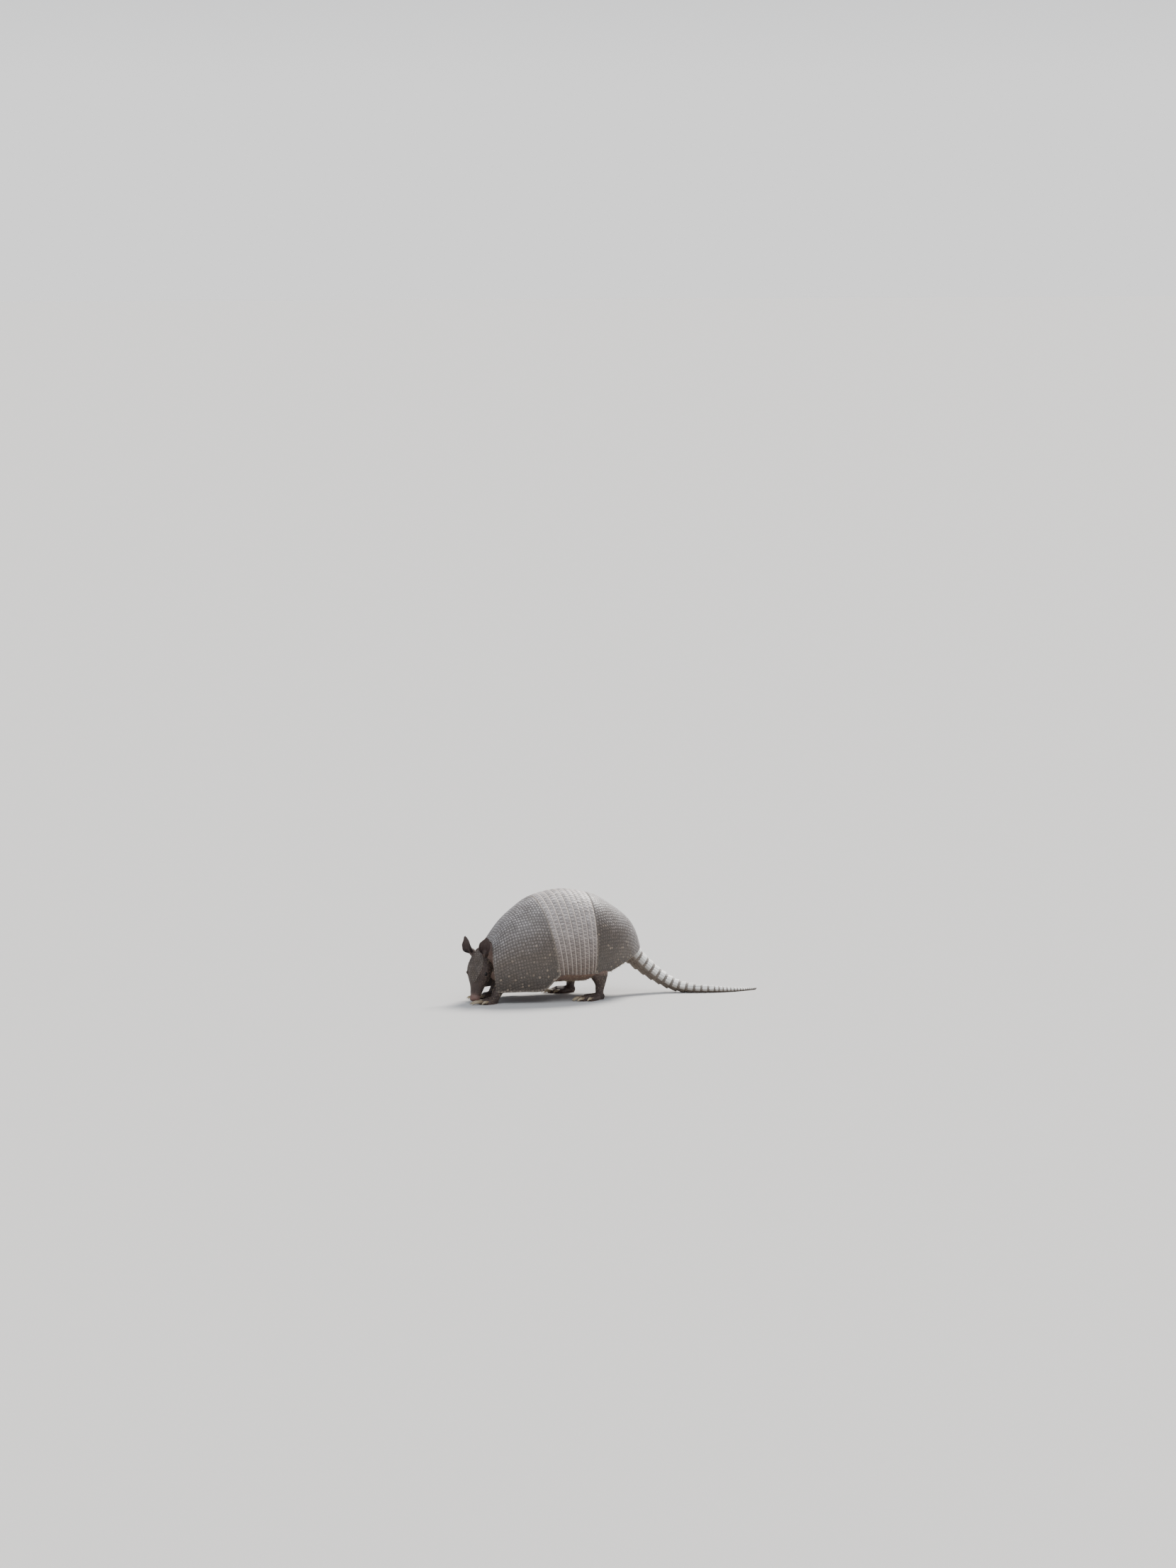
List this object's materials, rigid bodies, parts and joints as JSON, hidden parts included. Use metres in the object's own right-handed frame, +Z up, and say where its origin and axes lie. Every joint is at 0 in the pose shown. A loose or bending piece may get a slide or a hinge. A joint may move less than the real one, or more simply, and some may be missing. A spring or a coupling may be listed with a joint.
{
  "type": "armadillo",
  "caption": "Life-size armadillo standing with an arched banded shell, its head down to root in the ground and its ringed tail trailing.",
  "frame": {"origin": "middle of the bounding box, on the floor that the animal stands on", "axes": "+Z up, the animal faces -Y and its left side is +X"},
  "size_m": [0.1758, 0.6246, 0.2217],
  "materials": {
    "shield": "horny plates, half matt, dusty",
    "band": "horny bands, half matt",
    "skin": "bare leathery skin with sparse pale hair",
    "ear": "thin dark leathery skin",
    "tail": "horny rings, half matt",
    "claw": "worn pale horn",
    "eye": "wet and black"
  },
  "bodies": {
    "root": {"band_1": "band", "band_2": "band", "band_3": "band", "band_4": "band", "band_5": "band", "band_6": "band", "band_7": "band", "band_8": "band", "band_9": "band", "claw_front_left_1": "claw", "claw_front_left_2": "claw", "claw_front_left_3": "claw", "claw_front_left_4": "claw", "claw_front_right_1": "claw", "claw_front_right_2": "claw", "claw_front_right_3": "claw", "claw_front_right_4": "claw", "claw_hind_left_1": "claw", "claw_hind_left_2": "claw", "claw_hind_left_3": "claw", "claw_hind_left_4": "claw", "claw_hind_left_5": "claw", "claw_hind_right_1": "claw", "claw_hind_right_2": "claw", "claw_hind_right_3": "claw", "claw_hind_right_4": "claw", "claw_hind_right_5": "claw", "ear_left": "ear", "ear_right": "ear", "eye_left": "eye", "eye_right": "eye", "head": "skin", "head_shield": "shield", "leg_front_left": "skin", "leg_front_right": "skin", "leg_hind_left": "skin", "leg_hind_right": "skin", "neck": "skin", "pelvic_shield": "shield", "scapular_shield": "shield", "tail_ring_1": "tail", "tail_ring_10": "tail", "tail_ring_11": "tail", "tail_ring_12": "tail", "tail_ring_2": "tail", "tail_ring_3": "tail", "tail_ring_4": "tail", "tail_ring_5": "tail", "tail_ring_6": "tail", "tail_ring_7": "tail", "tail_ring_8": "tail", "tail_ring_9": "tail", "tail_tip": "tail", "trunk": "skin"}
  },
  "joints": []
}
